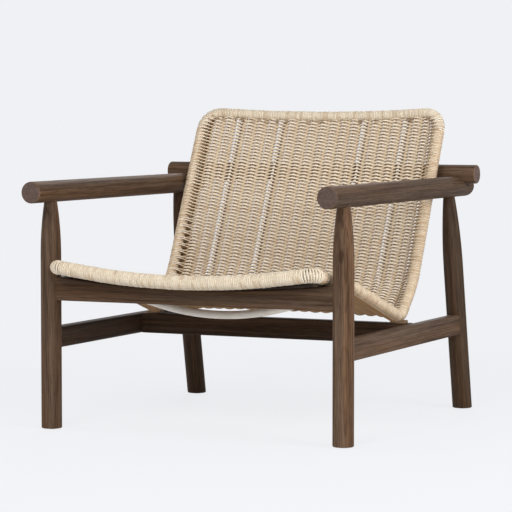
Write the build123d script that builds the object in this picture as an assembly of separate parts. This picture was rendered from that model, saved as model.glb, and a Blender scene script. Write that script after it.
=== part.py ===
from build123d import *
import os
from math import cos, radians, tan

# Low lounge armchair: a frame of round timber that carries a woven cord shell.
# Millimetres. X runs to the right seen from the front, Y to the rear, Z up.
# The origin is on the floor, under the middle of the chair.

# Timber frame
leg_spacing = 708.0
leg_d = 46.0
front_leg_y = -333.0
rear_foot_y = 398.0
rear_rake = 11.0
front_neck_d = 29.0
front_neck_length = 118.0
rear_neck_d = 27.0
rear_neck_length = 172.0
foot_ease = 2.5
leg_tenon_d = 20.0
leg_tenon_rise = 8.0

arm_d = 48.0
arm_z = 531.0
arm_front_y = -421.5
arm_rear_y = 417.0
arm_front_ease = 3.0
arm_rear_ease = 15.0

back_rail_d = 44.0
back_rail_length = 808.0
back_rail_y = 356.0
back_rail_z = 560.0
back_rail_ease = 3.5

front_rail_thickness = 28.0
front_rail_bottom_z = 289.0
front_rail_end_z = 345.0
front_rail_mid_z = 323.5
rail_ease = 2.5

stretcher_width = 28.0
stretcher_bottom_z = 180.5
stretcher_top_z = 228.0
stretcher_ease = 6.0
cross_stretcher_y = 91.0
cross_ease = 3.0

tenon_thickness = 12.0
tenon_margin = 9.0
tenon_depth = 15.0

glide_d = 24.0
glide_thickness = 5.0
glide_lift = 1.5

# Shell: corner points of the rim's side line, as (y, z), from the seat's front to the back's top
seat_front = (-393.0, 368.0)
seat_knee = (-191.0, 332.0)
crease = (100.0, 239.0)
back_knee = (177.0, 313.0)
back_top = (364.0, 705.0)
knee_radius = 500.0
crease_radius_side = 35.0
crease_radius_middle = 100.0
lumbar_radius = 180.0

# How far the woven surface hangs away from the rim's side line at mid-width, as (y, z)
seat_front_dish = (0.0, -27.6)
seat_knee_dish = (0.0, -22.0)
crease_dish = (0.0, 8.0)
back_knee_dish = (28.0, -13.3)
back_top_dish = (23.5, -11.2)

rim_half_width = 312.0
rim_tube_d = 16.0
tube_wall = 2.0
front_wrap_d = 32.0
side_wrap_d = 26.0
top_wrap_d = 25.0
front_corner_radius = 20.0
front_corner_run = 22.0
top_corner_radius = 44.0
top_corner_run = 47.0
bow_radius = 1500.0

weave_thickness = 10.0
weave_gap = 0.4
rod_d = 6.0
rod_spacing = 109.6

spreader_d = 18.0
spreader_y = -202.0
spreader_end_z = 320.0
spreader_slope = 15.0
spreader_radius = 612.0

saddle_width = 34.0
saddle_depth = 24.0
saddle_height = 6.0

screw_d = 5.0
screw_head_d = 10.0
screw_head_height = 4.0
screw_bite = 8.0

# Values that follow from the dimensions above
leg_r = leg_d / 2
arm_r = arm_d / 2
half_spacing = leg_spacing / 2
sides = {"left": -1, "right": 1}
side_line = [seat_front, seat_knee, crease, back_knee, back_top]
dish = [seat_front_dish, seat_knee_dish, crease_dish, back_knee_dish, back_top_dish]


# Round legs and what they stand on

def turned_leg(foot_z, under_arm_z, top_z, neck_d, neck_length):
    """A round leg on the Z axis, drawn in to a slim neck below the arm."""
    neck_r = neck_d / 2
    shoulder = (leg_r, under_arm_z - neck_length)
    neck = (neck_r, under_arm_z)
    lower = Polyline((0, foot_z), (leg_r, foot_z), shoulder)
    taper = TangentArc(shoulder, neck, tangent=(0, 1))
    upper = Polyline(neck, (neck_r, top_z), (0, top_z), (0, foot_z))
    return revolve(Plane.XZ * make_face(lower + taper + upper), Axis.Z)


def leg_frame(side, end):
    """Where a leg's own axis stands: upright in front, raked behind."""
    x = side * half_spacing
    if end == "front":
        return Pos(x, front_leg_y, 0)
    return Pos(x, rear_foot_y, 0) * Rot(X=rear_rake)


def axis_length(end, height):
    """Distance along a leg's axis from the floor up to a height."""
    return height if end == "front" else height / cos(radians(rear_rake))


def leg_tenon(side, end):
    """The round tenon that stands up from a leg's neck into the arm."""
    bottom = axis_length(end, arm_z - arm_d)
    top = axis_length(end, arm_z + leg_tenon_rise)
    rod = Pos(0, 0, (bottom + top) / 2) * Cylinder(leg_tenon_d / 2, top - bottom)
    return leg_frame(side, end) * rod


def leg_blank(side, end):
    """A leg before its joints are cut, trimmed level above the floor."""
    neck_d = front_neck_d if end == "front" else rear_neck_d
    neck_length = front_neck_length if end == "front" else rear_neck_length
    top = axis_length(end, arm_z)
    leg = leg_frame(side, end) * turned_leg(-leg_d, top - arm_r, top, neck_d, neck_length)
    room = Pos(0, 0, glide_lift) * Box(2 * leg_spacing, 2 * leg_spacing, arm_z,
                                       align=(Align.CENTER, Align.CENTER, Align.MIN))
    leg = leg & room
    return fillet(leg.faces().sort_by(Axis.Z)[0].edges(), foot_ease)


def glide(side, end):
    """A round floor glide let into the underside of a leg."""
    y = front_leg_y if end == "front" else rear_foot_y
    disc = Cylinder(glide_d / 2, glide_thickness, align=(Align.CENTER, Align.CENTER, Align.MIN))
    disc = chamfer(disc.faces().sort_by(Axis.Z)[0].edges(), glide_lift / 2)
    return Pos(side * half_spacing, y, 0) * disc


# Arms, rails and stretchers

def arm_blank(side):
    """A round arm along Y, flat in front and rounded behind."""
    length = arm_rear_y - arm_front_y
    middle = Pos(side * half_spacing, (arm_front_y + arm_rear_y) / 2, arm_z)
    arm = middle * Rot(X=90) * Cylinder(arm_r, length)
    ends = arm.faces().filter_by(Axis.Y).sort_by(Axis.Y)
    arm = fillet(ends[0].edges(), arm_front_ease)
    rear = arm.faces().filter_by(Axis.Y).sort_by(Axis.Y)[-1]
    return fillet(rear.edges(), arm_rear_ease)


def round_back_rail():
    """The round rail that lies across both arms."""
    rail = Pos(0, back_rail_y, back_rail_z) * Rot(Y=90) * Cylinder(back_rail_d / 2, back_rail_length)
    return fillet(rail.faces().filter_by(Axis.X).edges(), back_rail_ease)


def front_rail_blank():
    """The flat front rail, scooped along its top for the hanging seat."""
    x = half_spacing
    lower = Polyline((-x, front_rail_end_z), (-x, front_rail_bottom_z), (x, front_rail_bottom_z),
                     (x, front_rail_end_z))
    scoop = ThreePointArc((x, front_rail_end_z), (0, front_rail_mid_z), (-x, front_rail_end_z))
    rail = extrude(Plane.XZ * make_face(lower + scoop), front_rail_thickness / 2, both=True)
    rail = fillet(rail.edges().filter_by(Axis.X), rail_ease)
    rail = chamfer(rail.edges().filter_by(GeomType.CIRCLE).filter_by(long_edge), rail_ease)
    return Pos(0, front_leg_y, 0) * rail


def long_edge(edge):
    """True for an edge that runs most of the chair's width."""
    return edge.length > half_spacing


def stretcher_bar(length, ease):
    """A stretcher along Y with rounded long edges, centred on the origin."""
    bar = Box(stretcher_width, length, stretcher_top_z - stretcher_bottom_z)
    return fillet(bar.edges().filter_by(Axis.Y), ease)


def flat_tenon(height, reach):
    """A flat tenon block that reaches along Y both ways from the origin."""
    return Box(tenon_thickness, 2 * reach, height - 2 * tenon_margin)


stretcher_z = (stretcher_top_z + stretcher_bottom_z) / 2
stretcher_height = stretcher_top_z - stretcher_bottom_z
rear_axis_y = rear_foot_y - tan(radians(rear_rake)) * stretcher_z

leg_blanks = {(s, e): leg_blank(sides[s], e) for s in sides for e in ("front", "rear")}
leg_tenons = {(s, e): leg_tenon(sides[s], e) for s in sides for e in ("front", "rear")}
glides = {(s, e): glide(sides[s], e) for s in sides for e in ("front", "rear")}
arm_blanks = {s: arm_blank(sides[s]) for s in sides}
back_rail = round_back_rail()

front_rail = front_rail_blank()
rail_tenon_z = (front_rail_bottom_z + front_rail_mid_z) / 2
rail_tenon = flat_tenon(front_rail_mid_z - front_rail_bottom_z, half_spacing - leg_r + tenon_depth)
rail_tenon = Pos(0, front_leg_y, rail_tenon_z) * Rot(Z=90) * rail_tenon
for s in sides:
    front_rail -= leg_blanks[s, "front"]
front_rail += rail_tenon

side_stretchers = {}
side_tenons = {}
for s, sign in sides.items():
    middle = Pos(sign * half_spacing, (front_leg_y + rear_axis_y) / 2, stretcher_z)
    bar = middle * stretcher_bar(rear_axis_y - front_leg_y, stretcher_ease)
    reach = (rear_axis_y - front_leg_y) / 2 - leg_r + tenon_depth
    side_tenons[s] = middle * flat_tenon(stretcher_height, reach)
    side_stretchers[s] = bar - leg_blanks[s, "front"] - leg_blanks[s, "rear"] + side_tenons[s]

cross_place = Pos(0, cross_stretcher_y, stretcher_z) * Rot(Z=90)
inner_width = leg_spacing - stretcher_width
cross_tenon = cross_place * flat_tenon(stretcher_height, inner_width / 2 + tenon_depth)
cross_stretcher = cross_place * stretcher_bar(inner_width, cross_ease) + cross_tenon
for s in sides:
    side_stretchers[s] -= cross_tenon


# Fixing screws, upright with the head below

def upright_screw(x, y, head_z, tip_z):
    """A round-shank screw that goes up from a sunk head."""
    base = (Align.CENTER, Align.CENTER, Align.MIN)
    head = Cylinder(screw_head_d / 2, screw_head_height, align=base)
    shank = Cylinder(screw_d / 2, tip_z - head_z, align=base)
    return Pos(x, y, head_z) * (head + shank)


def screw_pocket(x, y, bottom_z, head_z):
    """The open pocket below a sunk screw head."""
    depth = head_z - bottom_z
    return Pos(x, y, bottom_z + depth / 2) * Cylinder(screw_head_d / 2, depth)


rail_screws = []
arms = {}
for s, sign in sides.items():
    x = sign * half_spacing
    head_z = arm_z - arm_r + 2 * screw_head_height
    screw = upright_screw(x, back_rail_y, head_z, back_rail_z + screw_bite)
    pocket = screw_pocket(x, back_rail_y, arm_z - arm_d, head_z)
    arms[s] = arm_blanks[s] - back_rail - screw - pocket
    rail_screws.append(screw)
back_rail = back_rail - rail_screws

legs = {}
for (s, e), blank in leg_blanks.items():
    leg = blank - arm_blanks[s] + leg_tenons[s, e] - glides[s, e] - side_tenons[s]
    legs[s, e] = leg - rail_tenon if e == "front" else leg
    arms[s] = arms[s] - leg_tenons[s, e]


# Woven shell

def hung_line(x):
    """The shell's (y, z) corner points in the upright plane at x, hung off the rim's side line."""
    share = 1 - (x / rim_half_width) ** 2
    return [Vector(y + share * dy, z + share * dz) for (y, z), (dy, dz) in zip(side_line, dish)]


def bend_radii(x):
    """Radii at the seat's knee, the crease and the back's knee in the upright plane at x."""
    share = 1 - (x / rim_half_width) ** 2
    crease_radius = crease_radius_side + share * (crease_radius_middle - crease_radius_side)
    return [knee_radius, crease_radius, lumbar_radius]


def upright_plane(x):
    """The plane at x whose own axes are Y and Z."""
    return Plane((x, 0, 0), x_dir=(0, 1, 0), z_dir=(1, 0, 0))


def in_space(x, point):
    """A (y, z) point of the plane at x as a point of the chair."""
    return Vector(x, point.X, point.Y)


def moved_towards(start, target, distance):
    """The point at a distance from start on the way to target."""
    return start + (target - start).normalized() * distance


def shifted_line(points, radii, shift):
    """The line beside a bent line at a signed distance, with its bends on the same centres."""
    runs = [(b - a).normalized() for a, b in zip(points, points[1:])]
    normals = [Vector(-run.Y, run.X) for run in runs]
    moved = [points[0] + normals[0] * shift]
    new_radii = []
    for i, radius in enumerate(radii):
        before, after = normals[i], normals[i + 1]
        moved.append(points[i + 1] + (before + after) * (shift / (1 + before.dot(after))))
        turn = runs[i].X * runs[i + 1].Y - runs[i].Y * runs[i + 1].X
        new_radii.append(radius - shift if turn > 0 else radius + shift)
    moved.append(points[-1] + normals[-1] * shift)
    return moved, new_radii


def weave_section(x):
    """The closed outline of the woven panel where it crosses the plane at x."""
    line = hung_line(x)
    line[0] = moved_towards(line[0], line[1], front_wrap_d / 2 + weave_gap)
    line[-1] = moved_towards(line[-1], line[-2], top_wrap_d / 2 + weave_gap)
    upper, upper_radii = shifted_line(line, bend_radii(x), weave_thickness / 2)
    lower, lower_radii = shifted_line(line, bend_radii(x), -weave_thickness / 2)
    outline = FilletPolyline(*upper, radius=upper_radii) + FilletPolyline(*lower, radius=lower_radii)
    outline += Line(upper[0], lower[0])
    outline += Line(upper[-1], lower[-1])
    return upright_plane(x) * make_face(outline)


def bar_along(path, diameter):
    """A round bar swept along a path."""
    return sweep(Plane(path @ 0, z_dir=path % 0) * Circle(diameter / 2), path=path)


def bowed_points(index, count=4):
    """Points across the chair on the bowed line through one corner of the side line."""
    xs = [rim_half_width * (2 * i / count - 1) for i in range(count + 1)]
    return [in_space(x, hung_line(x)[index]) for x in xs]


def end_bar_path(index, neighbour, corner_radius, corner_run):
    """The path of the front or top bar: across the chair and round both corners."""
    across = bowed_points(index)
    line = hung_line(rim_half_width)
    turn_back = moved_towards(line[index], line[neighbour], corner_run)
    starts = [in_space(sign * rim_half_width, turn_back) for sign in (-1, 1)]
    radii = [corner_radius] + [bow_radius] * (len(across) - 2) + [corner_radius]
    return FilletPolyline(starts[0], *across, starts[1], radius=radii)


def side_bar_path(sign):
    """The path of one side of the rim, between its front and top corners."""
    line = hung_line(rim_half_width)
    line[0] = moved_towards(line[0], line[1], front_corner_run)
    line[-1] = moved_towards(line[-1], line[-2], top_corner_run)
    x = sign * rim_half_width
    return upright_plane(x) * FilletPolyline(*line, radius=bend_radii(x))


def rod_path(x):
    """The path of a lengthwise rod, from the front bar to the top bar."""
    return upright_plane(x) * FilletPolyline(*hung_line(x), radius=bend_radii(x))


rim_paths = {
    "front": end_bar_path(0, 1, front_corner_radius, front_corner_run),
    "top": end_bar_path(-1, -2, top_corner_radius, top_corner_run),
    "left": side_bar_path(-1),
    "right": side_bar_path(1),
}
wrap_diameters = {"front": front_wrap_d, "top": top_wrap_d, "left": side_wrap_d, "right": side_wrap_d}
rim_bars = {name: bar_along(path, rim_tube_d) for name, path in rim_paths.items()}
rim_bores = {name: bar_along(path, rim_tube_d - 2 * tube_wall) for name, path in rim_paths.items()}
rim_tubes = {name: rim_bars[name] - rim_bores[name] for name in rim_paths}
wrap_blanks = {name: bar_along(path, wrap_diameters[name]) for name, path in rim_paths.items()}

rods = []
for i in (-2, -1, 1, 2):
    bar = bar_along(rod_path(i * rod_spacing), rod_d)
    rods.append(bar - rim_bars["front"] - rim_bars["top"])

spreader_fall = rim_half_width * tan(radians(spreader_slope))
spreader_points = [(-rim_half_width, spreader_end_z), (0, spreader_end_z - spreader_fall),
                   (rim_half_width, spreader_end_z)]
spreader_line = FilletPolyline(*spreader_points, radius=spreader_radius)
spreader_path = Plane.XZ.offset(-spreader_y) * spreader_line
spreader_bar = bar_along(spreader_path, spreader_d)
spreader_bore = bar_along(spreader_path, spreader_d - 2 * tube_wall)
spreader = spreader_bar - spreader_bore - rim_bars["left"] - rim_bars["right"]

weave_edge = rim_half_width - side_wrap_d / 2 - weave_gap
sections = [weave_section(weave_edge * step / 3) for step in range(-3, 4)]
woven_panel = loft(sections) - wrap_blanks["front"] - wrap_blanks["top"] - rods

# Steel saddles and screws under the crease corners
saddles = {}
saddle_screws = []
for s, sign in sides.items():
    x = sign * rim_half_width
    block = Pos(x, cross_stretcher_y, stretcher_top_z + saddle_height / 2)
    block = block * Box(saddle_width, saddle_depth, saddle_height)
    head_z = stretcher_bottom_z + 2 * screw_head_height
    screw = upright_screw(x, cross_stretcher_y, head_z, crease[1])
    cross_stretcher -= screw
    cross_stretcher -= screw_pocket(x, cross_stretcher_y, stretcher_bottom_z, head_z)
    saddles[s] = block - wrap_blanks[s] - screw
    saddle_screws.append(screw)
    rim_tubes[s] = rim_tubes[s] - screw

wraps = {}
for name, blank in wrap_blanks.items():
    wrap = blank - rim_bars[name]
    if name in sides:
        wrap = wrap - spreader_bar - saddle_screws
    else:
        wrap = wrap - rods
    wraps[name] = wrap

# One file for each piece
nodes = {
    "back_rail": back_rail,
    "front_rail": front_rail,
    "cross_stretcher": cross_stretcher,
    "back_rail_screws": Compound(children=rail_screws),
    "shell_spreader": spreader,
    "woven_panel": woven_panel,
    "shell_screws": Compound(children=saddle_screws),
}
for (s, e), leg in legs.items():
    nodes[f"leg_{e}_{s}"] = leg
    nodes[f"glide_{e}_{s}"] = glides[s, e]
for s in sides:
    nodes[f"arm_{s}"] = arms[s]
    nodes[f"side_stretcher_{s}"] = side_stretchers[s]
    nodes[f"shell_saddle_{s}"] = saddles[s]
for name in rim_paths:
    nodes[f"rim_tube_{name}"] = rim_tubes[name]
    nodes[f"rim_wrap_{name}"] = wraps[name]
for i, rod in enumerate(rods):
    nodes[f"shell_rod_{i + 1}"] = rod

os.makedirs("parts", exist_ok=True)
for name, shape in nodes.items():
    export_step(shape, f"parts/{name}.step")
    print(name, round(shape.volume), "mm3", len(shape.solids()), "solid(s)")
whole = Compound(children=list(nodes.values())).bounding_box()
print("box", whole.min, whole.max)
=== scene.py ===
# %% [markdown]
# # A low armchair with a woven shell
# The packed chair is the fixed frame: its timber, tubes and screws come in at their true size and
# place, in metres. This lesson gives them finishes, and grows the woven cord that a plain solid
# only stands in for.

# %% Load the frame
import math

import bpy
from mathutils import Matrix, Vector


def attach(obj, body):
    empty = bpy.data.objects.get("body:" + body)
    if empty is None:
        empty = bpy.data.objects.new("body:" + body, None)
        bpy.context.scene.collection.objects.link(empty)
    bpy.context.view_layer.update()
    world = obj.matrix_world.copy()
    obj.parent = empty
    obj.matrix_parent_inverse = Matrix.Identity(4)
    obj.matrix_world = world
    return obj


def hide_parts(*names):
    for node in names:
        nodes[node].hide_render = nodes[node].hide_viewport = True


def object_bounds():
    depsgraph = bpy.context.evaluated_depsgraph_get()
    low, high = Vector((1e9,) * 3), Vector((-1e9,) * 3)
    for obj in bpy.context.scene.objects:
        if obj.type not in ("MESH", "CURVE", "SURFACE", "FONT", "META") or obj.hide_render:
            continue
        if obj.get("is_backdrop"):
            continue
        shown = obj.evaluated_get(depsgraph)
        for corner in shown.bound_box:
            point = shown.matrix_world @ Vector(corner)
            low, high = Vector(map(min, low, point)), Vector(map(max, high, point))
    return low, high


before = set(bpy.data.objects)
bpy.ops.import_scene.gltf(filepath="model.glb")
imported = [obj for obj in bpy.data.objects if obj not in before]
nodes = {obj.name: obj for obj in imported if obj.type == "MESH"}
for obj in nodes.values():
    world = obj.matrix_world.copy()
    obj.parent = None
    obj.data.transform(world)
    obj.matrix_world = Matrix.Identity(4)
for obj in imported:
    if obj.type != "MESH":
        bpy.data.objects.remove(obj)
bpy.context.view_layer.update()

scene = bpy.context.scene

# %% [markdown]
# ## The camera
# The view is from a little above the arms, some 25 degrees round from the front to the chair's right.
# It is taken from far off with a long lens, so upright legs stay upright and the two arms look nearly
# parallel. A camera could be aimed with a constraint, but plain angles are easier to read and to
# change.

# %% Place the camera
IMAGE_SIDE = 512                     # pixels
SENSOR_WIDTH = 36.0                  # millimetres
FOCAL_LENGTH_PIXELS = 2406.5
CAMERA_PLACE = (2.32217, -4.9945, 0.72683)
CAMERA_TURN = math.radians(24.98)    # to the chair's right
CAMERA_DIP = math.radians(3.633)     # below the horizon

camera_data = bpy.data.cameras.new("camera")
camera_data.sensor_width = SENSOR_WIDTH
camera_data.lens = FOCAL_LENGTH_PIXELS * SENSOR_WIDTH / IMAGE_SIDE
camera = bpy.data.objects.new("camera", camera_data)
camera.location = CAMERA_PLACE
camera.rotation_euler = (math.pi / 2 - CAMERA_DIP, 0.0, CAMERA_TURN)
scene.collection.objects.link(camera)
scene.camera = camera
scene.view_settings.view_transform = "Standard"
print("lens", round(camera_data.lens, 1), "mm")

# %% [markdown]
# ## Wires that can be added up
# A finish is a small sum: a ring here, a streak there, times a colour. Nodes can be placed one by
# one, but the sum is then hard to read. This class wraps one socket of a node tree, so that plain
# Python sums add the nodes. It serves the shader trees and the geometry trees alike.

# %% A wire class
def pick(sockets, key):
    """The socket in use with this name, or at this place among those in use."""
    in_use = [socket for socket in sockets if socket.enabled]
    if isinstance(key, int):
        return in_use[key]
    return next(socket for socket in in_use if socket.name == key)


class Wire:
    """One output of a node tree. Sums of wires add the nodes that work them out."""

    def __init__(self, tree, socket=None):
        self.tree = tree
        self.socket = socket

    def feed(self, socket, value):
        """Links a wire to a socket, or sets the socket's own value."""
        if isinstance(value, Wire):
            self.tree.links.new(value.socket, socket)
        elif socket.type == "VECTOR" and isinstance(value, (int, float)):
            socket.default_value = (value, value, value)
        elif socket.type == "RGBA":
            socket.default_value = (*value, 1.0)
        else:
            socket.default_value = value

    def node(self, kind, settings=None, inputs=None):
        """Adds a node: its settings first, then the values or wires of its sockets."""
        made = self.tree.nodes.new(kind)
        for name, value in (settings or {}).items():
            if name == "choices":
                for _ in range(value - len(made.index_switch_items)):
                    made.index_switch_items.new()
            else:
                setattr(made, name, value)
        for key, value in (inputs or {}).items():
            self.feed(pick(made.inputs, key), value)
        return Wire(self.tree, pick(made.outputs, 0)) if made.outputs else made

    def out(self, name):
        """Another output of the same node."""
        return Wire(self.tree, pick(self.socket.node.outputs, name))

    def op(self, operation, *operands):
        """A Math node, or a Vector Math node where a vector takes part."""
        wires = [operand for operand in operands if isinstance(operand, Wire)]
        vector = any(wire.socket.type in ("VECTOR", "RGBA") for wire in wires)
        kind = "ShaderNodeVectorMath" if vector else "ShaderNodeMath"
        return self.node(kind, {"operation": operation}, dict(enumerate(operands)))

    def __add__(self, other):
        return self.op("ADD", self, other)

    def __sub__(self, other):
        return self.op("SUBTRACT", self, other)

    def __mul__(self, other):
        return self.op("MULTIPLY", self, other)

    def __truediv__(self, other):
        return self.op("DIVIDE", self, other)

    def __rsub__(self, other):
        return self.op("SUBTRACT", other, self)

    def __pow__(self, other):
        return self.op("POWER", self, other)

    def __mod__(self, other):
        return self.op("FLOORED_MODULO", self, other)

    def __gt__(self, other):
        return self.op("GREATER_THAN", self, other)

    def __lt__(self, other):
        return self.op("LESS_THAN", self, other)

    def __abs__(self):
        return self.op("ABSOLUTE", self)

    __radd__ = __add__
    __rmul__ = __mul__

    def function(self, operation):
        """A function of one number, such as a sine."""
        return self.op(operation, self)

    def parts(self):
        """The x, y and z of a vector wire."""
        split = self.node("ShaderNodeSeparateXYZ", None, {"Vector": self})
        return split, split.out("Y"), split.out("Z")

    def vector(self, x, y, z):
        """A vector made of three numbers or wires."""
        return self.node("ShaderNodeCombineXYZ", None, {"X": x, "Y": y, "Z": z})

    def ease(self, low, high):
        """Goes smoothly from 0 at low to 1 at high."""
        settings = {"interpolation_type": "SMOOTHSTEP"}
        return self.node("ShaderNodeMapRange", settings,
                         {"Value": self, "From Min": low, "From Max": high})

    def blend(self, first, second):
        """Mixes two colours by this wire's value."""
        return self.node("ShaderNodeMix", {"data_type": "RGBA"},
                         {"Factor": self, "A": first, "B": second})


print("a wire can", ", ".join(name for name in vars(Wire) if not name.startswith("_")))

# %% [markdown]
# ## Colours and empty finishes
# A colour is judged on a screen, but light adds up on another scale. So colours are written as they
# are read off a screen and turned into light once, here. They could be written as light from the
# start, but few people can picture those numbers. Every finish starts from the same shader, which
# serves wood, paint, steel and cord alike.

# %% Colour and finish helpers
def colour(red, green, blue):
    """A colour as it is read off a screen, 0 to 255, as the light that Blender works with."""
    shares = [part / 255 for part in (red, green, blue)]
    return tuple(s / 12.92 if s < 0.04045 else ((s + 0.055) / 1.055) ** 2.4 for s in shares)


def new_finish(name):
    """A material with one Principled shader: returns the material, its shader and a first wire."""
    material = bpy.data.materials.new(name)
    material.use_nodes = True
    shader = material.node_tree.nodes["Principled BSDF"]
    return material, shader, Wire(material.node_tree)


print("pale", [round(part, 3) for part in colour(240, 241, 244)])

# %% [markdown]
# ## Floor and backdrop
# The chair stands on a plain pale floor. Near the feet the floor takes real light, so it keeps a
# shadow, and further off it fades into the backdrop's own flat colour. A bent sheet of paper would do
# in a real studio, but it would need light of its own to look even from every side.

# %% Build the floor
BACKDROP = colour(240, 241, 244)
SKY_LEVEL = 0.25
FLOOR_HALF = 8.0
FADE_START, FADE_END = 0.8, 2.4      # metres from the chair's middle
NEAR_FADE = 0.85                     # how much of the backdrop's colour shows at the chair
OPEN_LOSS = 0.3                      # how much darker than the backdrop the lit floor is


def seen_directly(wire):
    """1 for rays from the camera or off a mirror or glass, where the backdrop should show plain."""
    rays = wire.node("ShaderNodeLightPath")
    return rays.op("MAXIMUM", rays.op("MAXIMUM", rays.out("Is Camera Ray"), rays.out("Is Glossy Ray")),
                   rays.out("Is Transmission Ray"))


world = bpy.data.worlds.new("studio")
world.use_nodes = True
scene.world = world
sky = world.node_tree.nodes["Background"]
wire = Wire(world.node_tree)
wire.feed(sky.inputs["Color"], BACKDROP)
wire.feed(sky.inputs["Strength"], seen_directly(wire) * (1 - SKY_LEVEL) + SKY_LEVEL)

floor_mesh = bpy.data.meshes.new("floor")
corners = [(x * FLOOR_HALF, y * FLOOR_HALF, 0.0) for x, y in ((-1, -1), (1, -1), (1, 1), (-1, 1))]
floor_mesh.from_pydata(corners, [], [(0, 1, 2, 3)])
floor = bpy.data.objects.new("floor", floor_mesh)
scene.collection.objects.link(floor)
floor_finish, floor_shader, wire = new_finish("pale_floor")
wire.feed(floor_shader.inputs["Base Color"], BACKDROP)
floor_shader.inputs["Roughness"].default_value = 0.9
floor_shader.inputs["Specular IOR Level"].default_value = 0.0
place = wire.node("ShaderNodeTexCoord").out("Object")
far = place.op("LENGTH", place).out("Value").ease(FADE_START, FADE_END) * (1 - NEAR_FADE) + NEAR_FADE
made_up = 1 + OPEN_LOSS * (1 - far) / far
glow = wire.vector(*(made_up * part for part in BACKDROP))
plain = wire.node("ShaderNodeEmission", None, {"Color": glow})
mixed = wire.node("ShaderNodeMixShader", None, {0: far * seen_directly(wire), 2: plain})
wire.tree.links.new(floor_shader.outputs["BSDF"], mixed.socket.node.inputs[1])
wire.tree.links.new(mixed.socket, wire.tree.nodes["Material Output"].inputs["Surface"])
floor_mesh.materials.append(floor_finish)
floor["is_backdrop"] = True
print("floor", 2 * FLOOR_HALF, "m wide")

# %% [markdown]
# ## Soft light
# Large lamps light the chair at a plain level, where a colour looks as it is written: most from the
# front and right, with weaker ones on the left and behind, so that no side is black. One strong lamp
# would do for this view alone, but its shadows would be hard and the back would be lost.

# %% Hang the lamps
LAMP_SIDE = 1.6                      # metres
CHAIR_MIDDLE = (0.0, 0.0, 0.4)
LAMPS = {                            # place, and power in watts
    "front_lamp": ((0.2, -4.1, 2.6), 86.0),
    "right_lamp": ((2.4, -3.3, 2.7), 32.0),
    "side_lamp": ((3.5, -1.0, 1.7), 74.0),
    "left_lamp": ((-3.4, -1.4, 1.8), 17.0),
    "back_lamp": ((-1.5, 3.9, 2.6), 42.0),
}


def hang_lamp(name, place, power):
    """A large square soft lamp at a place, turned to the chair."""
    data = bpy.data.lights.new(name, "AREA")
    data.size = LAMP_SIDE
    data.energy = power
    made = bpy.data.objects.new(name, data)
    made.location = place
    aim = [t - p for t, p in zip(CHAIR_MIDDLE, place)]
    flat = math.hypot(aim[0], aim[1])
    made.rotation_euler = (math.atan2(flat, -aim[2]), 0.0, math.atan2(aim[1], aim[0]) - math.pi / 2)
    scene.collection.objects.link(made)


for name, (place, power) in LAMPS.items():
    hang_lamp(name, place, power)
print(len(LAMPS), "lamps")

# %% [markdown]
# ## Oiled walnut
# Every timber piece is cut from a log, so its figure is a slice through growth rings. A picture of
# wood wrapped round a leg would look the same on all sides and wrong at its ends. Instead each finish
# works in three dimensions: rings round a distant pith, turned so that they run along the piece. A
# round leg then shows arches and streaks on its side and arcs on its end, as the real one does.

# %% The walnut finish
RING_WIDTH = 0.0034
GREY_BROWN = colour(113, 92, 75)
WARM_BROWN = colour(118, 89, 66)
DARK_BROWN = colour(58, 41, 29)
END_BROWN = colour(122, 104, 96)
PALE_EDGE_LINE = colour(150, 122, 96)
SWAY = (0.025, 0.025, 0.0)           # how far the rings stray, in metres
KNOT_EDGE, KNOT_CORE = 0.008, 0.002  # metres from a knot's middle
PALE_TO_DARK = (-0.45, 0.6)          # sum of all marks at the palest and at the darkest wood
# How tightly each kind of mark is packed across the grain, twice, and along it:
SWAY_PACK, WARM_PACK = (11.0, 11.0, 2.6), (34.0, 34.0, 1.7)
STREAK_PACK, FLECK_PACK = (120.0, 120.0, 2.2), (400.0, 400.0, 30.0)
FIBRE_PACK, PORE_PACK = (420.0, 420.0, 9.0), (1100.0, 1100.0, 34.0)


def noise(place, stretch, detail=2.0):
    """Cloudy noise, 0 to 1, packed by a stretch along each direction."""
    return place.node("ShaderNodeTexNoise", None,
                      {"Vector": place * stretch, "Scale": 1.0, "Detail": detail})


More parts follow.
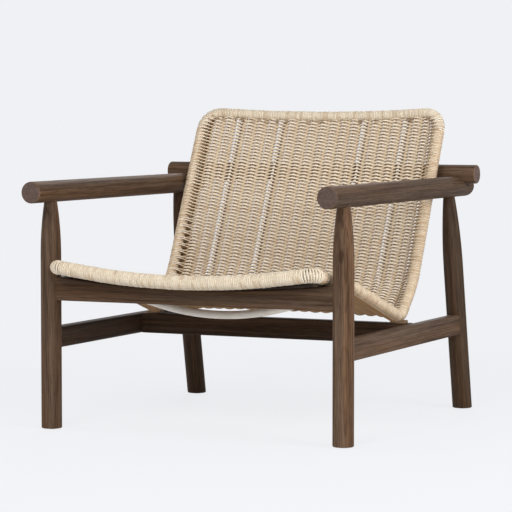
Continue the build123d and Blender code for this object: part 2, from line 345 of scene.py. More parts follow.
def walnut(name, turn, grain, pith, tone, knot):
    """Walnut whose grain, the piece's own length, is turned to run along z from a pith."""
    material, shader, wire = new_finish(name)
    object_place = wire.node("ShaderNodeTexCoord").out("Object")
    place = wire.node("ShaderNodeMapping", {"vector_type": "POINT"},
                      {"Vector": object_place, "Location": pith, "Rotation": turn})
    sway = (noise(place, SWAY_PACK).out("Color") - 0.5) * SWAY
    x, y, _ = (place + sway).parts()
    late = ((x * x + y * y) ** 0.5 / RING_WIDTH % 1.0) ** 2.0
    streak = noise(place, STREAK_PACK, 3.0)
    fleck = noise(place, FLECK_PACK, 3.0)
    fibre = noise(place, FIBRE_PACK, 3.0)
    pore = noise(place, PORE_PACK).ease(0.60, 0.72)
    warm = noise(place, WARM_PACK).ease(0.38, 0.66)
    shade = late * 0.15 + (streak - 0.5) * 1.2 + (fleck - 0.5) * 0.6 + (fibre - 0.5) * 0.8 + pore * 0.25
    if knot:
        away = (object_place - knot) * (1.0, 1.0, 0.4)
        shade = shade + away.op("LENGTH", away).out("Value").ease(KNOT_EDGE, KNOT_CORE) * 0.4
    figure = shade.ease(*PALE_TO_DARK).blend(warm.blend(GREY_BROWN, WARM_BROWN), DARK_BROWN)
    facing = wire.node("ShaderNodeNewGeometry").out("Normal")
    end = abs(facing.op("DOT_PRODUCT", facing, grain).out("Value"))
    end_grain = (shade * 0.5).ease(*PALE_TO_DARK).blend(END_BROWN, DARK_BROWN)
    tint = end.ease(0.75, 0.95).blend(figure, end_grain)
    # a paler line on the eased edge, where the side turns into the end
    tint = (end.ease(0.3, 0.5) * end.ease(0.9, 0.75) * 0.3).blend(tint, PALE_EDGE_LINE)
    # tone darkens the whole piece: its own tone, and for pieces in the seat's shadow painted shade
    wire.feed(shader.inputs["Base Color"], tint * tone)
    wire.feed(shader.inputs["Roughness"], 0.48 + fibre * 0.22)
    shader.inputs["Specular IOR Level"].default_value = 0.08
    bump = wire.node("ShaderNodeBump", None, {"Strength": 0.25, "Distance": 0.0004,
                                              "Height": 1 - (pore * 0.7 + fibre * 0.3)})
    wire.feed(shader.inputs["Normal"], bump)
    return material


print("walnut with rings", RING_WIDTH, "m wide")

# %% [markdown]
# ## Eleven timbers
# Every piece is sawn from another part of a log. So each gets its own pith, which keeps the figure
# from repeating, its own direction of grain, and its own tone, as one plank is darker than the next.
# The rear legs, the cross stretcher and the left stretcher get much lower tones, as painted shade
# for the seat's shadow over them.
# One finish for all would be shorter, but the grain would then run across the arms and the rails.

# %% Give each timber its grain
QUARTER = math.pi / 2
REAR_RAKE = math.radians(11.0)
RAKED = (0.0, -math.sin(REAR_RAKE), math.cos(REAR_RAKE))
# The low tones of the rear legs, the cross stretcher and the left stretcher are painted shade.
WOOD = {                             # turn to run along z, grain, where the pith lies, and tone
    "arm_left": ((QUARTER, 0, 0), (0, 1, 0), (0.405, 0.55, 0.0), 0.88),
    "arm_right": ((QUARTER, 0, 0), (0, 1, 0), (-0.300, 0.57, 0.9), 0.78),
    "leg_front_left": ((0.012, 0.02, 0), (0, 0, 1), (0.390, 0.40, 0.4), 0.84),
    "leg_front_right": ((-0.02, 0.012, 0), (0, 0, 1), (-0.395, 0.38, 2.1), 1.04),
    "leg_rear_left": ((-REAR_RAKE, 0, 0), RAKED, (0.330, -0.35, 1.4), 0.5),
    "leg_rear_right": ((-REAR_RAKE, 0.015, 0), RAKED, (-0.320, -0.36, 3.3), 0.6),
    "back_rail": ((0, -QUARTER, 0), (1, 0, 0), (0.620, -0.31, 0.2), 1.0),
    "front_rail": ((0, -QUARTER, 0), (1, 0, 0), (0.260, 0.37, 1.1), 0.85),
    "cross_stretcher": ((0, -QUARTER, 0), (1, 0, 0), (0.270, -0.15, 2.6), 0.52),
    "side_stretcher_left": ((QUARTER, 0, 0.02), (0, 1, 0), (0.310, 0.26, 1.7), 0.46),
    "side_stretcher_right": ((QUARTER, 0, -0.02), (0, 1, 0), (-0.400, 0.25, 2.9), 0.95),
}
KNOTS = {"leg_front_right": (0.358, -0.356, 0.406)}


def finish_node(name, material):
    """Gives a packed node its finish, in every slot of its mesh."""
    mesh = nodes[name].data
    mesh.materials.clear()
    mesh.materials.append(material)


for name, (turn, grain, pith, tone) in WOOD.items():
    finish_node(name, walnut("walnut_" + name, turn, grain, pith, tone, KNOTS.get(name)))
print(len(WOOD), "timber pieces in walnut")

# %% [markdown]
# ## Painted steel, screws and glides
# The shell's tubes, spreader and rods are steel under cream paint, which is nearly smooth, with a
# faint orange-peel ripple. On the rods, deep under the cord, the paint is made a little darker and
# yellower, as painted shade. The two saddles that carry the shell are painted brown, as painted shade
# for the dark corner under the crease. Screws are bright steel and the glides under the feet are
# moulded plastic. Each could have a tree of its own, but they differ only in colour, gloss and the
# scale of a fine ripple, so one short function makes them all.

# %% The steel and plastic finishes
def plain_finish(name, tint, dark, roughness, metallic, grain_scale):
    """An even finish with a faint cloud in its colour and a fine ripple."""
    material, shader, wire = new_finish(name)
    place = wire.node("ShaderNodeTexCoord").out("Object")
    cloud = noise(place, (24.0, 24.0, 24.0), 3.0)
    ripple = noise(place, (grain_scale, grain_scale, grain_scale))
    wire.feed(shader.inputs["Base Color"], cloud.ease(0.3, 0.8).blend(tint, dark))
    wire.feed(shader.inputs["Roughness"], roughness + (cloud - 0.5) * 0.15)
    shader.inputs["Metallic"].default_value = metallic
    bump = wire.node("ShaderNodeBump", None, {"Strength": 0.12, "Distance": 0.0003, "Height": ripple})
    wire.feed(shader.inputs["Normal"], bump)
    return material


cream_paint = plain_finish("cream_paint", colour(244, 236, 223), colour(231, 222, 207), 0.42, 0.0, 900.0)
# rods: the cream paint a little darker and yellower, painted shade for the cord over them
rod_shade_paint = plain_finish("rod_shade_paint", colour(234, 222, 204), colour(208, 192, 170), 0.5, 0.0, 600.0)
# saddles: brown, painted shade for the dark corner under the crease
saddle_shade_paint = plain_finish("saddle_shade_paint", colour(136, 108, 80), colour(88, 66, 46), 0.5, 0.0, 400.0)
bright_steel = plain_finish("bright_steel", colour(176, 176, 176), colour(140, 140, 140),
                            0.35, 1.0, 1500.0)
dark_plastic = plain_finish("glide_plastic", colour(58, 54, 50), colour(46, 43, 40), 0.6, 0.0, 1200.0)
for name in nodes:
    if name.startswith(("rim_tube", "shell_spreader")):
        finish_node(name, cream_paint)
    elif name.startswith("shell_rod"):
        finish_node(name, rod_shade_paint)
    elif name.startswith("shell_saddle"):
        finish_node(name, saddle_shade_paint)
    elif name.endswith("_screws"):
        finish_node(name, bright_steel)
    elif name.startswith("glide"):
        finish_node(name, dark_plastic)
hard = [name for name in nodes if name not in WOOD and not name.startswith(("woven", "rim_wrap"))]
print(len(hard), "nodes painted, bright or moulded")

# %% [markdown]
# ## Trees that grow geometry
# The cord is too much to model by hand: some 250 rows and 800 turns. Geometry Nodes grow it by rule.
# A tree is built once, run with the measures of one piece, and its result kept as a plain mesh. The
# points could be worked out in Python too, but a tree keeps its measures as inputs, which can be
# changed and run again.

# %% Helpers for geometry trees
def new_tree(name, inputs):
    """An empty geometry tree with named inputs: returns the tree and a wire for each input."""
    tree = bpy.data.node_groups.new(name, "GeometryNodeTree")
    for label, kind in inputs.items():
        tree.interface.new_socket(label, in_out="INPUT", socket_type="NodeSocket" + kind)
    tree.interface.new_socket("Geometry", in_out="OUTPUT", socket_type="NodeSocketGeometry")
    entry = tree.nodes.new("NodeGroupInput")
    return tree, {label: Wire(tree, entry.outputs[label]) for label in inputs}


def choose(index, values, kind):
    """One of several values, by its number."""
    inputs = {str(i): value for i, value in enumerate(values)}
    return index.node("GeometryNodeIndexSwitch", {"data_type": kind, "choices": len(values)},
                      {"Index": index, **inputs})


def stored(geometry, name, value, kind="FLOAT"):
    """Keeps a value on every point, under a name that later nodes and the finish can read."""
    return geometry.node("GeometryNodeStoreNamedAttribute", {"data_type": kind, "domain": "POINT"},
                         {"Geometry": geometry, "Name": name, "Value": value})


def named(wire, name):
    """A value that was kept under a name."""
    return wire.node("GeometryNodeInputNamedAttribute", {"data_type": "FLOAT"}, {"Name": name})


def grow(name, tree, values):
    """Runs a tree with these input values and keeps its result as a plain mesh."""
    piece = bpy.data.objects.new(name, bpy.data.meshes.new(name + "_seed"))
    scene.collection.objects.link(piece)
    modifier = piece.modifiers.new(tree.name, "NODES")
    modifier.node_group = tree
    for socket in tree.interface.items_tree:
        if socket.in_out == "INPUT":
            modifier[socket.identifier] = values[socket.name]
    evaluated = piece.evaluated_get(bpy.context.evaluated_depsgraph_get())
    mesh = bpy.data.meshes.new_from_object(evaluated)
    piece.modifiers.remove(modifier)
    piece.data = mesh
    mesh.name = name
    mesh.calc_loop_triangles()
    print(name, len(mesh.loop_triangles), "triangles")
    return piece


print("helpers", [helper.__name__ for helper in (new_tree, choose, stored, named, grow)])

# %% [markdown]
# ## The line that the shell hangs on
# From the side the shell is one bent line: the seat, a knee, the crease, the small of the back and
# the top. At the rim that line is set by the steel. Towards the middle it hangs away from the rim,
# most at mid-width. The points could be typed in one by one, but the shape follows this rule, so a
# Geometry Nodes tree works it out: a few corners for each line across the chair, rounded off.

# %% Corners of the hung line
MM = 0.001
RIM_HALF_WIDTH = 312 * MM
SIDE_CORNERS = [(0, -393 * MM, 368 * MM), (0, -191 * MM, 332 * MM), (0, 100 * MM, 239 * MM),
                (0, 177 * MM, 313 * MM), (0, 364 * MM, 705 * MM)]
DISH = [(0, 0, -27.6 * MM), (0, 0, -22 * MM), (0, 0, 8 * MM), (0, 28 * MM, -13.3 * MM),
        (0, 23.5 * MM, -11.2 * MM)]
KNEE_RADIUS = 500 * MM
CREASE_RADIUS_SIDE, CREASE_RADIUS_MIDDLE = 35 * MM, 100 * MM
LUMBAR_RADIUS = 180 * MM
ARC_POINTS = 14                      # on each rounded corner


def share_of_dish(x):
    """How much of the dish is left at x: all of it at mid-width, none at the rim."""
    return 1 - (x / RIM_HALF_WIDTH) ** 2


def rounded(points, group, radius):
    """Joins points into lines, a line for each group, and rounds their corners."""
    lines = points.node("GeometryNodePointsToCurves", None, {"Points": points, "Curve Group ID": group})
    return lines.node("GeometryNodeFilletCurve", {"mode": "POLY"},
                      {"Curve": lines, "Count": ARC_POINTS, "Radius": radius, "Limit Radius": True})


def hung_lines(wire, count, x_of_line):
    """Lines down the shell, from its front bar to its top bar, each at the x its number gives."""
    corners = len(SIDE_CORNERS)
    index = wire.node("GeometryNodeInputIndex")
    corner = index % corners
    line = (index / corners).function("FLOOR")
    x = x_of_line(line)
    share = share_of_dish(x)
    place = choose(corner, SIDE_CORNERS, "VECTOR") + choose(corner, DISH, "VECTOR") * share
    place = place + wire.vector(x, 0.0, 0.0)
    points = wire.node("GeometryNodePoints", None, {"Count": count * corners, "Position": place})
    crease = CREASE_RADIUS_SIDE + share * (CREASE_RADIUS_MIDDLE - CREASE_RADIUS_SIDE)
    radii = choose(corner, [0.0, KNEE_RADIUS, crease, LUMBAR_RADIUS, 0.0], "FLOAT")
    return rounded(points, line, radii)


print(len(SIDE_CORNERS), "corners on each hung line")

# %% [markdown]
# ## From line to cord
# A cord is a round tube along a line. A curve's own bevel would give the tube, but would keep nothing
# about it. Here nodes sweep a ring along the line, and every point of the tube keeps how far along
# and where round the cord it lies, so that the finish can twist fibres round it.

# %% Sweep a cord
CORD_SIDES = 6


def cord_mesh(curves, radius, finish, scale=1.0):
    """Round cord along curves, smooth, realized and with its finish."""
    ring = curves.node("GeometryNodeCurvePrimitiveCircle", {"mode": "RADIUS"},
                       {"Resolution": CORD_SIDES, "Radius": radius})
    angle = curves.node("GeometryNodeInputIndex") * (2 * math.pi / CORD_SIDES)
    ring = stored(ring, "ring_cos", angle.function("COSINE"))
    ring = stored(ring, "ring_sin", angle.function("SINE"))
    along = curves.node("GeometryNodeSplineParameter").out("Length")
    curves = stored(curves, "along", along)
    mesh = curves.node("GeometryNodeCurveToMesh", None,
                       {"Curve": curves, "Profile Curve": ring, "Scale": scale, "Fill Caps": True})
    mesh = mesh.node("GeometryNodeSetShadeSmooth", None, {"Geometry": mesh})
    mesh = mesh.node("GeometryNodeRealizeInstances", None, {"Geometry": mesh})
    mesh = mesh.node("GeometryNodeSetMaterial", None, {"Geometry": mesh, "Material": finish})
    exit_node = curves.tree.nodes.new("NodeGroupOutput")
    curves.tree.links.new(mesh.socket, exit_node.inputs["Geometry"])


print("cords have", CORD_SIDES, "sides")

# %% [markdown]
# ## Natural cord
# The cord is twisted from a pale plant fibre. No two lengths are quite the same colour: some are
# straw, some pinkish brown. Where it stands proud it is painted paler, a painted highlight, and deep
# in the weave, in the valleys between rows and turns and in the grooves of its twist, it is painted
# darker, as painted shade. At the crease and low on the left it is painted browner, every cord is
# painted browner underneath, and so is the seat's underside, nearly black just behind the front rail:
# all painted shade. One plain tan would be simpler, but would look like moulded plastic. So the trees
# keep a few values on every point of a cord: which row it belongs to, how far along and where round
# it is, and how far it stands out. The finish tints the cord by these.

# %% The cord finishes
# painted highlight where a cord stands proud
PAINTED_HIGHLIGHT = colour(250, 239, 222)
STRAW = colour(230, 214, 187)
BISCUIT = colour(211, 187, 156)
BARK = colour(162, 134, 107)
# painted shade on undersides
UNDERSIDE_SHADE = colour(160, 118, 70)
# painted shade deep in the weave
RECESS_SHADE = colour(112, 89, 66)
# painted shadow
GAP_SHADOW = colour(34, 26, 18)            # under the seat's front edge, next to the rail
TWIST_LENGTH = 7 * MM
# painted shade at the crease and the low back, deeper on the left
CREASE_SHADE_FROM, CREASE_SHADE_TO = (95, 130), (195, 155)  # rows of the crease and the low back, fading at both ends
CREASE_SHADE_LEFT = (-0.14, -0.3)            # where the left side begins to be browner, and is
SEAT_ROWS = (165, 135)               # rows of the seat, fading towards the back
FRONT_ROWS = (36, 30)                # rows behind the front rail, in the dark


def cord_finish(name, pale, tan, valley, under):
    """Twisted cord, rows tinted by chance, painted shade in valleys and underneath, painted highlights.
    """
    material, shader, wire = new_finish(name)

    def value(attribute):
        return wire.node("ShaderNodeAttribute", {"attribute_name": attribute}).out("Fac")

    row, along = value("row"), value("along")
    cos_round, sin_round = value("ring_cos"), value("ring_sin")
    tone = wire.node("ShaderNodeTexWhiteNoise", {"noise_dimensions": "1D"}, {"W": row})
    cloud = noise(wire.vector(along * 14.0, tone * 90.0, 0.0), (1.0, 1.0, 1.0), 3.0)
    strand = wire.vector(along * 160.0, cos_round * 2.2 + row * 3.1, sin_round * 2.2)
    fibre = noise(strand, (1.0, 1.0, 1.0))
    turn = along * (2 * math.pi / TWIST_LENGTH)
    groove = sin_round * turn.function("COSINE") + cos_round * turn.function("SINE")
    groove = groove.ease(0.55, 1.0)
    tint = (tone * 0.45 + cloud * 0.9).ease(0.55, 1.05).blend(pale, tan)
    tint = ((fibre - 0.45).ease(0.0, 0.5) * 0.35).blend(tint, BARK)
    # painted shade in the grooves of the twist
    tint = (groove * 0.22).blend(tint, BARK)
    # painted shade at the crease and the low back, deeper on the left
    left = wire.node("ShaderNodeTexCoord").out("Object").parts()[0].ease(*CREASE_SHADE_LEFT)
    crease_shade = row.ease(*CREASE_SHADE_TO) * row.ease(*CREASE_SHADE_FROM) * (0.16 + left * 0.3)
    tint = crease_shade.blend(tint, BARK)
    facing = wire.node("ShaderNodeNewGeometry").out("Normal")
    front = wire.node("ShaderNodeAttribute", {"attribute_name": "front"}).out("Vector")
    outward = facing.op("DOT_PRODUCT", facing, front).out("Value")
    lift = value("lift") * (outward.ease(-0.3, 0.3) * 2 - 1)
    # painted highlight where the cord stands proud
    tint = (lift.ease(0.2, 1.0) * 0.6).blend(tint, PAINTED_HIGHLIGHT)
    # painted shade where the cord lies deep, darker beside the rods
    tint = (lift.ease(0.0, -0.8) * (0.45 + value("near_rod") * 0.45)).blend(tint, RECESS_SHADE)
    # painted shade in the valleys between rows and between turns, and on the stakes
    tint = (abs(outward).ease(0.75, 0.2) * valley).blend(tint, RECESS_SHADE)
    down = facing.parts()[2] * -1.0
    # painted shade: each cord browner on its underside
    tint = (down.ease(0.0, 0.7) * under).blend(tint, UNDERSIDE_SHADE)
    # painted shade on the seat's underside, the side facing away from the front
    tint = (outward.ease(0.1, -0.5) * row.ease(*SEAT_ROWS) * 0.6).blend(tint, UNDERSIDE_SHADE)
    # painted shadow on the underside of the rows just behind the front rail
    tint = (down.ease(0.0, 0.4) * row.ease(*FRONT_ROWS) * 0.9).blend(tint, GAP_SHADOW)
    wire.feed(shader.inputs["Base Color"], tint)
    wire.feed(shader.inputs["Roughness"], 0.62 + fibre * 0.2)
    shader.inputs["Specular IOR Level"].default_value = 0.35
    bump = wire.node("ShaderNodeBump", None, {"Strength": 0.35, "Distance": 0.0004,
                                              "Height": fibre * 0.5 - groove})
    wire.feed(shader.inputs["Normal"], bump)
    return material


# The last two numbers of each set the painted shade in the valleys and underneath.
weave_cord = cord_finish("weave_cord", STRAW, BISCUIT, 0.35, 0.85)
# Stakes and the rim's sides get cord painted darker, as painted shade, and the bars paler, as painted
# light.
shaded_stake_cord = cord_finish("shaded_stake_cord", colour(226, 203, 173), colour(202, 177, 147), 0.1, 0.3)
lit_bar_cord = cord_finish("lit_bar_cord", colour(241, 229, 207), colour(216, 193, 163), 0.2, 0.1)
shaded_side_cord = cord_finish("shaded_side_cord", colour(240, 222, 194), colour(212, 184, 152), 0.25, 0.5)
print("cord finishes", weave_cord.name, shaded_stake_cord.name, lit_bar_cord.name, shaded_side_cord.name)

# %% [markdown]
# ## The weave's measures
# Cord runs across the chair, over one stake and under the next, and every row goes the other way to
# its neighbour. Four of the stakes are painted rods, thicker than the rest, so the cord has to swing
# wider there and leaves larger gaps. At each side it climbs over or under the rim. A perfect grid
# would be easy, but a hand leaves rows that stray or gather, so those have measures too, and so do
# the rows where the painted highlight and painted shade at the rim are made fainter.

# %% Measure the weave
STAKE_PITCH = 27.4 * MM
OUTER_STAKE = 10                     # stakes on each side of the middle
ROD_EVERY = 4
STAKE_RADIUS = 2.3 * MM
CORD_RADIUS = 2.75 * MM
RIM_THINNING, ROD_THINNING = 0.3, 0.2  # share of a row's width lost where it is pulled tight
RIM_SPREAD = 0.9                     # and gained where it is pressed flat behind the rim
STAKE_SWING, ROD_SWING = 4.5 * MM, 5.6 * MM
WAVE_SHARPNESS = 0.4                 # above 0, the cord stays flat for longer between stakes
ARCH = 1.6 * MM                      # packed from below, a row is pushed up at each stake
UNEVEN = 0.9 * MM                    # how far hand weaving strays
STEPS_PER_STAKE = 8
ROW_COUNT = 253
ROW_PITCH = 4.15 * MM
FRONT_ROLL_RADIUS, SIDE_ROLL_RADIUS, TOP_ROLL_RADIUS = 16 * MM, 13 * MM, 12.5 * MM
FRONT_CORNER_RADIUS, TOP_CORNER_RADIUS = 20 * MM, 44 * MM
RIM_REACH = 30 * MM                  # from the rim's centre to where a row starts to climb
CLIMBED, RIM_CLIMB = 11 * MM, SIDE_ROLL_RADIUS - CORD_RADIUS * 0.6  # where it is up, and how far
PULLED, SPREAD_FROM, SPREAD_TO = 24 * MM, 26 * MM, 15 * MM  # where it is tight, and where flat
GATHERED = 18 * MM                   # where rows that go two and two have met
GATHERED_ROWS = (178, 192)           # low on the left edge, rows go over the rim two and two
FAINT_RIM_ROWS = (186, 202), (219, 230)  # further up, rows where the rim's painted highlight and shade are fainter
FAINT_RIM_FADE, FAINT_RIM_SHARE = 4, 0.55    # rows over which that fades, and how much of it is taken off
RIGHT_FAINT_ROWS, RIGHT_FAINT_SHARE = (246, 238), 0.7  # the same on the right edge, below the top corner
TOP_SHADE_FROM, TOP_SHADE_TO, TOP_SHADE_DEPTH = 25 * MM, 18 * MM, 2.5  # painted shade in dashes under the top bar: where it starts, where it is full, how deep
HEAPED = 2.5 * MM                    # rows that pass behind a rod ride up on its right
EDGE_STEPS = math.ceil((RIM_HALF_WIDTH - OUTER_STAKE * STAKE_PITCH) / STAKE_PITCH * STEPS_PER_STAKE)
print(ROW_COUNT, "places for rows,", 2 * OUTER_STAKE + 1, "for stakes and rods")

# %% [markdown]
# ## The woven panel
# One tree grows all rows. It takes points evenly along the hung lines, then joins the same points the
# other way, in rows, and pushes each point off the surface by how it weaves. A sheet with a woven
# picture would be far lighter, but light falls through this weave and its edge is a row of bumps. It
# is grown in three bands, so that no piece gets too heavy.

# %% Grow the weave
def corner_cut(distance, radius):
    """How far a round corner draws the rim in, at a distance from the end bar."""
    short = radius - distance.op("MINIMUM", distance, radius)
    return radius - (radius * radius - short * short) ** 0.5


def weave_tree():
    """The tree that grows the rows of cord between two row numbers."""
    tree, given = new_tree("weave", {"First row": "Int", "Last row": "Int", "Cord radius": "Float",
                                     "Finish": "Material"})
    wire = Wire(tree)
    steps = 2 * (OUTER_STAKE * STEPS_PER_STAKE + EDGE_STEPS) + 1
    step = STAKE_PITCH / STEPS_PER_STAKE
    lines = hung_lines(wire, steps, lambda line: (line - steps // 2) * step)
    points = wire.node("GeometryNodeCurveToPoints", {"mode": "COUNT"},
                       {"Curve": lines, "Count": ROW_COUNT})
    tangent = points.out("Tangent")
    _, tangent_y, tangent_z = tangent.parts()
    normal = wire.vector(0.0, 0.0 - tangent_z, tangent_y)
    row = wire.node("GeometryNodeInputIndex") % ROW_COUNT
    x = wire.node("GeometryNodeInputPosition").parts()[0]
    front_gap, top_gap = row * ROW_PITCH, (ROW_COUNT - 1 - row) * ROW_PITCH
    half_width = RIM_HALF_WIDTH - corner_cut(front_gap, FRONT_CORNER_RADIUS)
    half_width = half_width - corner_cut(top_gap, TOP_CORNER_RADIUS)
    room = half_width - abs(x)
    stake = x / STAKE_PITCH
    rod = stake / ROD_EVERY
    rod_near = (1 - abs(rod - rod.function("ROUND")) * ROD_EVERY) * (abs(rod) > 0.5)
    rod_near = rod_near.op("MAXIMUM", rod_near, 0.0)
    swing = STAKE_SWING + rod_near * (ROD_SWING - STAKE_SWING)
    side = 1 - (row % 2) * 2
    climb = room.ease(RIM_REACH, CLIMBED)
    wave = (stake * math.pi).function("COSINE")
    wave = wave * abs(wave) ** WAVE_SHARPNESS * (abs(stake) < OUTER_STAKE + 0.5)
    offset = side * (wave * swing - climb * RIM_CLIMB)
    points = stored(points, "row", row)
    # painted shade in dashes under the top bar, taken off the lift so the finish darkens it there
    top_shade = noise(wire.vector(x * 110.0, row * 0.2, 0.0), (1.0, 1.0, 1.0)).ease(0.5, 0.6)
    top_shade = top_shade * top_gap.ease(TOP_SHADE_FROM, TOP_SHADE_TO) * TOP_SHADE_DEPTH
    # rows where the rim's painted highlight and painted shade are made fainter
    faint_rim = sum(row.ease(low - FAINT_RIM_FADE, low) * row.ease(high + FAINT_RIM_FADE, high)
                for low, high in FAINT_RIM_ROWS)
    shown = (1 - (x > 0.0) * row.ease(*RIGHT_FAINT_ROWS) * RIGHT_FAINT_SHARE) * (1 - faint_rim * FAINT_RIM_SHARE)
    # lift: how far a cord stands out, which the finish paints as highlight or shade
    points = stored(points, "lift", side * (wave - climb * shown) - top_shade)
    points = stored(points, "near_rod", rod_near)
    points = stored(points, "front", normal, "FLOAT_VECTOR")
    gather = room.ease(RIM_REACH, GATHERED) * row.ease(GATHERED_ROWS[1], GATHERED_ROWS[0]) * (x < 0.0)
    beside = stake - rod.function("ROUND") * ROD_EVERY
    flank = beside.ease(-0.1, 0.1) * beside.ease(0.55, 0.35) * (abs(rod) > 0.5)
    heap = flank * (side * wave).ease(0.0, -0.5) * HEAPED
    along = gather * (row % 2) * (2 - row % 4) * (ROW_PITCH * 0.5) + abs(wave) * ARCH + heap
    spread = (1 - row % 2) * room.ease(SPREAD_FROM, SPREAD_TO) * RIM_SPREAD
    pulled = room.ease(RIM_REACH, PULLED) * RIM_THINNING + rod_near.ease(0.45, 0.7) * ROD_THINNING
    points = stored(points, "width", 1 - pulled + spread)
    stray = noise(wire.node("GeometryNodeInputPosition"), (90.0, 90.0, 90.0)).out("Color")
    stray = (stray - 0.5) * UNEVEN
    points = wire.node("GeometryNodeSetPosition", None,
                       {"Geometry": points, "Offset": normal * offset + tangent * along + stray})
    row = named(wire, "row")
    front_free = row * ROW_PITCH > FRONT_ROLL_RADIUS - CORD_RADIUS
    top_free = (ROW_COUNT - 1 - row) * ROW_PITCH > TOP_ROLL_RADIUS - CORD_RADIUS
    wanted = front_free * top_free * (row > given["First row"] - 0.5) * (row < given["Last row"] - 0.5)
    points = stored(points, "room", room)
    points = wire.node("GeometryNodeSeparateGeometry", {"domain": "POINT"},
                       {"Geometry": points, "Selection": wanted * (named(wire, "room") > 0.0)})
    x = wire.node("GeometryNodeInputPosition").parts()[0]
    rows = wire.node("GeometryNodePointsToCurves", None,
                     {"Points": points, "Curve Group ID": named(wire, "row"), "Weight": x})
    cord_mesh(rows, given["Cord radius"], given["Finish"], named(wire, "width"))
    return tree


weave = weave_tree()
weave_bands = {"weave_seat": (0, 85), "weave_crease": (85, 169), "weave_back": (169, ROW_COUNT)}
weave_pieces = [grow(name, weave, {"First row": first, "Last row": last, "Cord radius": CORD_RADIUS,
                                   "Finish": weave_cord})
                for name, (first, last) in weave_bands.items()]
print(len(weave_pieces), "bands of weave")

# %% [markdown]
# ## Stakes
# Between the rods, seventeen stakes run from the front bar to the top bar, each of two cords side by
# side. They lie deep in the weave and show as short tan bars between the bumps. One thick cord would
# do, but two lie flatter and fill the gap as in the picture. The same hung lines serve, two for each
# stake, with those left out where a rod stands.

# %% Grow the stakes
STAKE_COUNT = 2 * OUTER_STAKE + 1
STAKE_POINTS = 160
STAKE_ROW = 400                      # the stakes' cords are numbered from here, clear of the rows


def stake_x(line):
    """Where a stake's two cords stand, side by side."""
    number = (line / 2).function("FLOOR") - OUTER_STAKE
    return number * STAKE_PITCH + (line % 2 - 0.5) * (2 * STAKE_RADIUS)


def stake_tree():
    """The tree that grows two cords down every hung line that has no rod."""
    tree, given = new_tree("stakes", {"Stake radius": "Float", "Finish": "Material"})
    wire = Wire(tree)
    lines = hung_lines(wire, 2 * STAKE_COUNT, stake_x)
    number = (wire.node("GeometryNodeInputIndex") / 2).function("FLOOR") - OUTER_STAKE
    has_rod = (number % ROD_EVERY < 0.5) * (abs(number) > 0.5)
    lines = wire.node("GeometryNodeDeleteGeometry", {"domain": "CURVE"},
                      {"Geometry": lines, "Selection": has_rod})
    lines = wire.node("GeometryNodeResampleCurve", {"mode": "COUNT"},
                      {"Curve": lines, "Count": STAKE_POINTS})
    lines = stored(lines, "row", wire.node("GeometryNodeInputIndex") / STAKE_POINTS + STAKE_ROW)
    cord_mesh(lines, given["Stake radius"], given["Finish"])
    return tree


stakes = grow("stakes", stake_tree(), {"Stake radius": STAKE_RADIUS, "Finish": shaded_stake_cord})

# %% [markdown]
# ## The lines of the rim
# The rim is steel tube: a bar bowed across the front, another across the top, and two sides that
# follow the hung line, with a round corner between each two. It could be drawn as one closed line, but
# the winding is thickest on the front bar, and its cord is painted palest on both bars and darker on
# the sides, as painted light and shade, so each gets a line of its own.

# %% Draw the rim's lines
BOW_RADIUS = 1500 * MM
BAR_POINTS = 7
FRONT_CORNER_RUN, TOP_CORNER_RUN = 22 * MM, 47 * MM


def toward(start, target, distance):
    """A step of this length from one corner towards another, as a vector."""
    reach = [t - s for s, t in zip(start, target)]
    return tuple(part * distance / math.hypot(*reach) for part in reach)


def bar_line(wire, given):
    """The front or top bar: bowed across the chair, with a round corner at each end."""
    index = wire.node("GeometryNodeInputIndex")
    half_step = RIM_HALF_WIDTH / 2
    place_across = index - BAR_POINTS // 2
    x = place_across * half_step
    x = x.op("MINIMUM", x.op("MAXIMUM", x, -RIM_HALF_WIDTH), RIM_HALF_WIDTH)
    end = abs(place_across) > 2.5
    corner = (abs(place_across) > 1.5) * (1 - end)
    place = given["Corner"] + given["Dish"] * share_of_dish(x) + given["Run"] * end
    points = wire.node("GeometryNodePoints", None,
                       {"Count": BAR_POINTS, "Position": place + wire.vector(x, 0.0, 0.0)})
    return rounded(points, 0, BOW_RADIUS + corner * (given["Corner radius"] - BOW_RADIUS))


def side_line(wire, given):
    """One side of the rim, between the front and top corners."""
    line = hung_lines(wire, 1, lambda line: given["Side"] * RIM_HALF_WIDTH)
    length = line.node("GeometryNodeCurveLength", None, {"Curve": line})
    return line.node("GeometryNodeTrimCurve", {"mode": "LENGTH"},
                     {"Curve": line, "Start": FRONT_CORNER_RUN, "End": length - TOP_CORNER_RUN})


print("bars of", BAR_POINTS, "corners, sides between them")

# %% [markdown]
# ## The wound rim
# The steel rim is wound all round with cord, turn against turn, thickest at the front where the
# sitter's knees lie. A ribbed picture would look flat at the edge of the roll, where the turns make a
# fine saw-tooth. So each length of rim is a real winding: points along the bar, each pushed out from
# it a little further round than the last, joined into one long helix.

# %% Grow the windings
WINDING_RADIUS = 2.2 * MM
WINDING_PITCH = 4.2 * MM
STEPS_PER_TURN = 14
LUMP_HEIGHT = 0.35 * MM              # where the ends of stakes and rows lie under the turns
WANDER, WANDER_SCALE = 1.8 * MM, 2.618  # how far turns stray, and how soon that changes


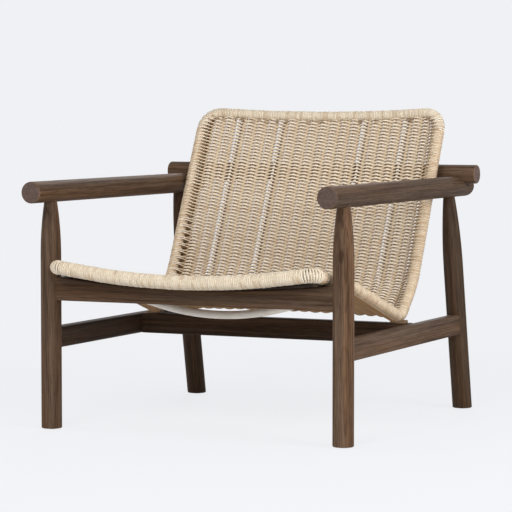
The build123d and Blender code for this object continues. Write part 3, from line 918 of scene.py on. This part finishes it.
def winding_tree(name, inputs, make_line):
    """The tree that winds cord round a bar."""
    tree, given = new_tree(name, {**inputs, "Roll radius": "Float", "Lump pitch": "Float",
                                  "Row": "Float", "Finish": "Material"})
    wire = Wire(tree)
    bar = make_line(wire, given)
    length = wire.node("GeometryNodeCurveLength", None, {"Curve": bar})
    count = (length / WINDING_PITCH * STEPS_PER_TURN).function("ROUND")
    bar = wire.node("GeometryNodeResampleCurve", {"mode": "COUNT"}, {"Curve": bar, "Count": count})
    angle = wire.node("GeometryNodeInputIndex") * (2 * math.pi / STEPS_PER_TURN)
    normal = wire.node("GeometryNodeInputNormal")
    tangent = wire.node("GeometryNodeInputTangent")
    across = tangent.op("CROSS_PRODUCT", tangent, normal)
    outward = normal * angle.function("COSINE") + across * angle.function("SINE")
    turn = wire.node("GeometryNodeInputIndex") / STEPS_PER_TURN
    wander = wire.node("ShaderNodeTexNoise", {"noise_dimensions": "1D"},
                       {"W": turn, "Scale": WANDER_SCALE}) - 0.5
    distance = wire.node("GeometryNodeSplineParameter").out("Length")
    lump = (distance * (2 * math.pi) / given["Lump pitch"]).function("COSINE")
    reach = given["Roll radius"] - WINDING_RADIUS + wander * WANDER + lump * LUMP_HEIGHT
    helix = wire.node("GeometryNodeSetPosition", None, {"Geometry": bar, "Offset": outward * reach})
    helix = stored(helix, "row", given["Row"] + turn.function("FLOOR"))
    helix = stored(helix, "front", outward, "FLOAT_VECTOR")
    cord_mesh(helix, WINDING_RADIUS, given["Finish"])
    return tree


bar_inputs = {"Corner": "Vector", "Dish": "Vector", "Run": "Vector", "Corner radius": "Float"}
bar_tree = winding_tree("bar_winding", bar_inputs, bar_line)
side_tree = winding_tree("side_winding", {"Side": "Float"}, side_line)
windings = {
    "front": grow("winding_front", bar_tree, {
        "Corner": SIDE_CORNERS[0], "Dish": DISH[0], "Roll radius": FRONT_ROLL_RADIUS, "Row": 1000.0,
        "Lump pitch": STAKE_PITCH / 2,
        "Run": toward(SIDE_CORNERS[0], SIDE_CORNERS[1], FRONT_CORNER_RUN),
        "Corner radius": FRONT_CORNER_RADIUS, "Finish": lit_bar_cord}),
    "top": grow("winding_top", bar_tree, {
        "Corner": SIDE_CORNERS[-1], "Dish": DISH[-1], "Roll radius": TOP_ROLL_RADIUS, "Row": 2000.0,
        "Lump pitch": STAKE_PITCH / 2,
        "Run": toward(SIDE_CORNERS[-1], SIDE_CORNERS[-2], TOP_CORNER_RUN),
        "Corner radius": TOP_CORNER_RADIUS, "Finish": lit_bar_cord}),
}
for name, side in {"left": -1.0, "right": 1.0}.items():
    windings[name] = grow("winding_" + name, side_tree, {
        "Side": side, "Roll radius": SIDE_ROLL_RADIUS, "Lump pitch": 2 * ROW_PITCH,
        "Row": 4000.0 + side * 1000, "Finish": shaded_side_cord})
print(len(windings), "lengths of wound rim")

# %% [markdown]
# ## Everything rides the frame
# The chair has no moving part, so every new piece rides the one body. The weave and stakes stand for
# the panel's plain solid and each winding for its own length of wrapping, which are hidden. They could
# all be joined into one piece, but apart they can be changed one at a time.

# %% Ride and replace
for piece in [*weave_pieces, stakes, *windings.values()]:
    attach(piece, "root")
for piece in [*weave_pieces, stakes]:
    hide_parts("woven_panel")
for name, piece in windings.items():
    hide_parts("rim_wrap_" + name)
print(len(weave_pieces) + 1 + len(windings), "new pieces ride the frame")

# %% [markdown]
# ## The finished size
# Wound cord stands a hair proud of the solid it replaces, by some half a millimetre, which doesn't
# show, so the finished chair is measured and its box is printed.

# %% Print the finished size
def whole_box():
    """The chair's box as it is now, as plain lists."""
    low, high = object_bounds()
    return [list(low), list(high)]


print("finished box", [[round(part, 4) for part in corner] for corner in whole_box()])
